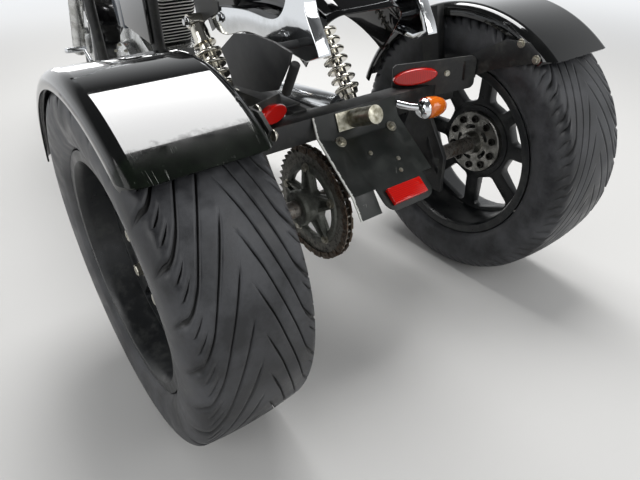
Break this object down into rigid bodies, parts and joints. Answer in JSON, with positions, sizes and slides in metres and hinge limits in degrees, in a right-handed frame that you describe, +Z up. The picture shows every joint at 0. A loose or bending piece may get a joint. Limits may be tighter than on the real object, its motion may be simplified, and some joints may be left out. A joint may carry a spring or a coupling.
{
  "type": "motorized trike",
  "caption": "Motorcycle converted to a trike, with a finned twin engine, chain-driven rear axle, wide wheels under black fenders, steering fork and rolling wheels.",
  "frame": {"origin": "on the ground under the middle of the vehicle's length, on its centre plane", "axes": "+X to the rider's right, +Y forwards, +Z up"},
  "size_m": [1.006, 2.2586, 1.353],
  "materials": {
    "gloss_paint": "gloss black paint",
    "panel_paint": "worn dark green-black paint",
    "frame_paint": "satin black paint",
    "wheel_paint": "satin dark grey paint on cast wheels",
    "chrome": "polished chrome plate",
    "zinc": "yellow zinc plate",
    "steel": "oiled steel with surface rust",
    "machined_alloy": "machined alloy",
    "cast_alloy": "rough cast alloy with road dirt",
    "polished_alloy": "polished alloy",
    "engine_black": "black heat-proof paint on fins",
    "tyre": "dusty black rubber",
    "grip_rubber": "moulded rubber",
    "seat_cover": "black grained cover",
    "black_plastic": "matte black plastic",
    "cover_plastic": "grey-blue gloss cover",
    "red_lens": "clear red lens",
    "amber_lens": "clear amber lens",
    "clear_lens": "clear fluted glass"
  },
  "bodies": {
    "chassis": {"frame": "frame_paint", "rear_frame": "frame_paint", "axle_carriers": "frame_paint", "engine_case": "polished_alloy", "cylinders": "engine_black", "v_cover": "cover_plastic", "intake": "chrome", "backrest": "seat_cover", "exhaust": "chrome", "fuel_tank": "gloss_paint", "rider_seat": "seat_cover", "pillion_seat": "seat_cover", "short_fender": "gloss_paint", "struts": "chrome", "sissy_bar": "chrome", "shocks": "chrome", "chain": "steel", "chain_guard": "frame_paint", "splash_guard": "black_plastic", "side_covers": "gloss_paint", "foot_controls": "chrome", "passenger_peg": "grip_rubber", "panel": "panel_paint", "plate_lamp": "zinc", "reflector": "red_lens", "fender_brackets": "frame_paint", "marker_lenses": "red_lens", "rear_indicator": "amber_lens", "rear_fenders": "gloss_paint"},
    "steering": {"fork_legs": "polished_alloy", "fork_clamps": "machined_alloy", "handlebar": "chrome", "grips": "grip_rubber", "mirrors": "chrome", "headlamp": "chrome", "headlamp_lens": "clear_lens", "levers": "polished_alloy", "speedometer": "chrome", "front_indicators": "amber_lens", "front_fender": "gloss_paint", "front_axle": "chrome"},
    "front_roller": {"front_wheel": "polished_alloy", "front_tyre": "tyre"},
    "rear_axle": {"rear_tyre_l": "tyre", "rear_tyre_r": "tyre", "rear_wheel_l": "wheel_paint", "rear_wheel_r": "wheel_paint", "hub_adapters": "machined_alloy", "axle_shaft": "steel", "sprocket": "steel", "sprocket_carrier": "cast_alloy"}
  },
  "joints": [
    {"name": "steering_turn", "type": "hinge", "parent": "chassis", "child": "steering", "pos_m": [0, 0.78999, 0.28115], "axis": [0, -0.5299, 0.848], "range_deg": [-26, 50]},
    {"name": "front_wheel_spin", "type": "hinge", "parent": "steering", "child": "front_roller", "pos_m": [0.00936, 0.82732, 0.30448], "axis": [0.9781, -0.1763, -0.1102], "continuous": true},
    {"name": "rear_axle_spin", "type": "hinge", "parent": "chassis", "child": "rear_axle", "pos_m": [0, -0.82184, 0.3075], "axis": [1, 0, 0], "continuous": true}
  ]
}
